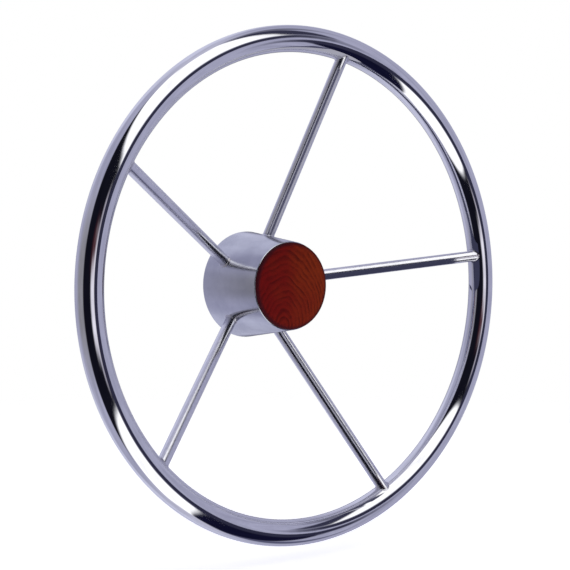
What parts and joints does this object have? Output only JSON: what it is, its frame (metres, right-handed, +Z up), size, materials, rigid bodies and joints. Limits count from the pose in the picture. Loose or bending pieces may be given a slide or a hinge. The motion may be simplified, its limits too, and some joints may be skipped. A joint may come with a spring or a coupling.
{
  "type": "boat steering wheel",
  "caption": "Dished steering wheel for a boat helm: polished tube rim on slanted rod spokes, conical hub with a keyed taper bore, and a round wooden centre cap.",
  "frame": {"origin": "centre of the helm shaft bore's mouth, on the boss's rear face", "axes": "+Y runs along the shaft, out of the back of the wheel; the helmsman is at -Y looking along +Y; +Z is up and +X is to the helmsman's right"},
  "size_m": [0.3939, 0.0885, 0.3939],
  "materials": {
    "polished_stainless": "mirror polished stainless steel",
    "satin_stainless": "semi-polished spun stainless steel",
    "machined_steel": "fine turned stainless steel",
    "weld_steel": "ground and polished weld",
    "cap_wood": "oiled and varnished red hardwood",
    "black_plastic": "moulded, fine texture",
    "nylon": "natural nylon",
    "seal_rubber": "smooth"
  },
  "bodies": {
    "wheel": {"rim_tube": "polished_stainless", "rim_seam_weld": "polished_stainless", "spoke_1": "polished_stainless", "spoke_2": "polished_stainless", "spoke_3": "polished_stainless", "spoke_4": "polished_stainless", "spoke_5": "polished_stainless", "rim_weld_beads": "weld_steel", "shell_weld_beads": "weld_steel", "boss_weld_beads": "weld_steel", "hub_shell": "satin_stainless", "hub_boss": "machined_steel", "rear_plate": "satin_stainless", "rear_plate_welds": "weld_steel"},
    "cap": {"wood_cap": "cap_wood", "cap_plug": "black_plastic", "cap_o_ring": "seal_rubber", "cap_screws": "machined_steel"},
    "washer": {"flat_washer": "machined_steel"},
    "nut": {"shaft_nut": "machined_steel", "nut_insert": "nylon"}
  },
  "joints": [
    {"name": "cap_pull", "type": "slide", "parent": "wheel", "child": "cap", "axis": [0, -1, 0], "range_m": [0, 0.04]},
    {"name": "washer_lift", "type": "slide", "parent": "wheel", "child": "washer", "axis": [0, -1, 0], "range_m": [0, 0.00762]},
    {"name": "nut_turn", "type": "hinge", "parent": "washer", "child": "nut", "pos_m": [0, -0.0353, 0], "axis": [0, -1, 0], "range_deg": [0, 2160]}
  ],
  "couplings": [
    {"joint": "nut_turn", "follows": "washer_lift", "rad_per_m": 4947.4}
  ]
}
